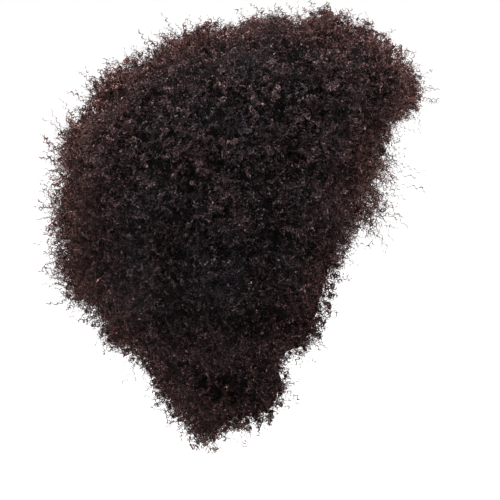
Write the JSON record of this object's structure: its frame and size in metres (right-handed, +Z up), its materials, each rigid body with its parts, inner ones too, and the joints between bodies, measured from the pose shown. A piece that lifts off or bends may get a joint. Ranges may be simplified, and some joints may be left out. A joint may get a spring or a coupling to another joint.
{
  "type": "afro wig",
  "caption": "Round, deep afro wig of tight dark curls on a stretch cap, swept up over the forehead and tapered at the nape.",
  "frame": {"origin": "inside of the cap's crown, where the top of the wearer's head touches it", "axes": "+Z up, the face opening towards -Y, the wearer's left towards +X"},
  "size_m": [0.364, 0.3737, 0.4437],
  "materials": {
    "hair": "tight kinky curls of brown-black fibre, reddish brown where light passes through the rims, with a soft gloss",
    "cap": "plain black stretch knit, matt"
  },
  "bodies": {
    "root": {"wig_cap": "cap", "front_hair": "hair", "crown_hair": "hair", "fringe": "hair", "left_side_hair": "hair", "right_side_hair": "hair", "back_hair": "hair", "nape_hair": "hair"}
  },
  "joints": []
}
